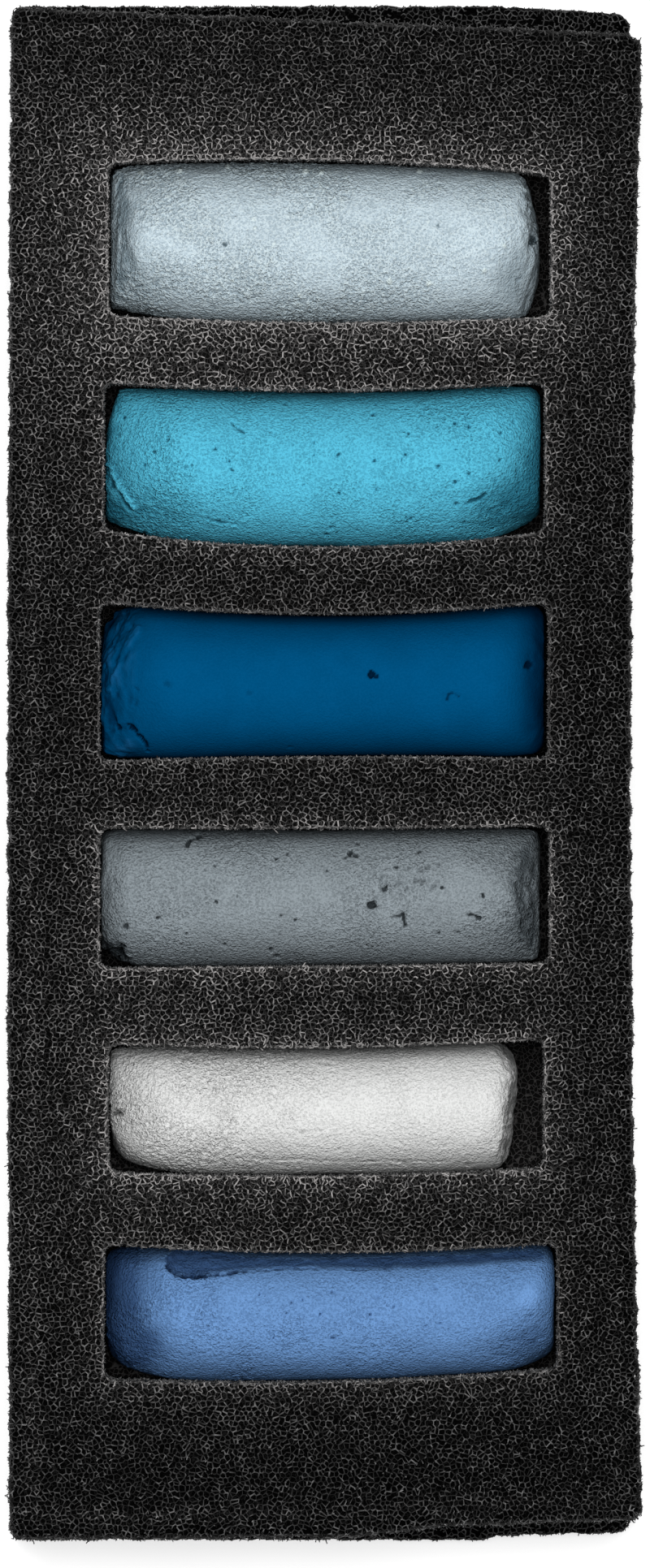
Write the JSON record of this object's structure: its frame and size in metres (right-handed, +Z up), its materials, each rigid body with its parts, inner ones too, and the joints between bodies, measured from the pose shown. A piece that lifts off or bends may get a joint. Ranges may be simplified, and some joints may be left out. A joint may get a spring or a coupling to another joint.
{
  "type": "soft pastel half stick set",
  "caption": "Hand-rolled soft pastel half sticks lying in the windows of a two-layer open-cell foam tray, a row of cool blues, greys and white.",
  "frame": {"origin": "middle of the tray's underside", "axes": "+Z up out of the tray, +Y along the tray towards the pale grey stick, +X along the sticks"},
  "size_m": [0.0557, 0.1358, 0.0196],
  "materials": {
    "foam": "matte charcoal reticulated open-cell foam",
    "adhesive": "thin dark bonding film",
    "pastel_pale_grey": "matte pressed pigment and chalk",
    "pastel_turquoise": "matte pressed pigment and chalk",
    "pastel_deep_blue": "matte pressed pigment and chalk",
    "pastel_slate_grey": "matte pressed pigment and chalk",
    "pastel_white": "matte pressed pigment and chalk",
    "pastel_periwinkle": "matte pressed pigment and chalk"
  },
  "bodies": {
    "tray": {"foam_base_layer": "foam", "adhesive_film": "adhesive", "foam_top_layer": "foam"},
    "pastel_pale_grey_stick": {"pastel_pale_grey": "pastel_pale_grey"},
    "pastel_turquoise_stick": {"pastel_turquoise": "pastel_turquoise"},
    "pastel_deep_blue_stick": {"pastel_deep_blue": "pastel_deep_blue"},
    "pastel_slate_grey_stick": {"pastel_slate_grey": "pastel_slate_grey"},
    "pastel_white_stick": {"pastel_white": "pastel_white"},
    "pastel_periwinkle_stick": {"pastel_periwinkle": "pastel_periwinkle"}
  },
  "joints": [
    {"name": "lift_pale_grey", "type": "slide", "parent": "tray", "child": "pastel_pale_grey_stick", "axis": [0, 0, 1], "range_m": [0, 0.03]},
    {"name": "lift_turquoise", "type": "slide", "parent": "tray", "child": "pastel_turquoise_stick", "axis": [0, 0, 1], "range_m": [0, 0.03]},
    {"name": "lift_deep_blue", "type": "slide", "parent": "tray", "child": "pastel_deep_blue_stick", "axis": [0, 0, 1], "range_m": [0, 0.03]},
    {"name": "lift_slate_grey", "type": "slide", "parent": "tray", "child": "pastel_slate_grey_stick", "axis": [0, 0, 1], "range_m": [0, 0.03]},
    {"name": "lift_white", "type": "slide", "parent": "tray", "child": "pastel_white_stick", "axis": [0, 0, 1], "range_m": [0, 0.03]},
    {"name": "lift_periwinkle", "type": "slide", "parent": "tray", "child": "pastel_periwinkle_stick", "axis": [0, 0, 1], "range_m": [0, 0.03]}
  ]
}
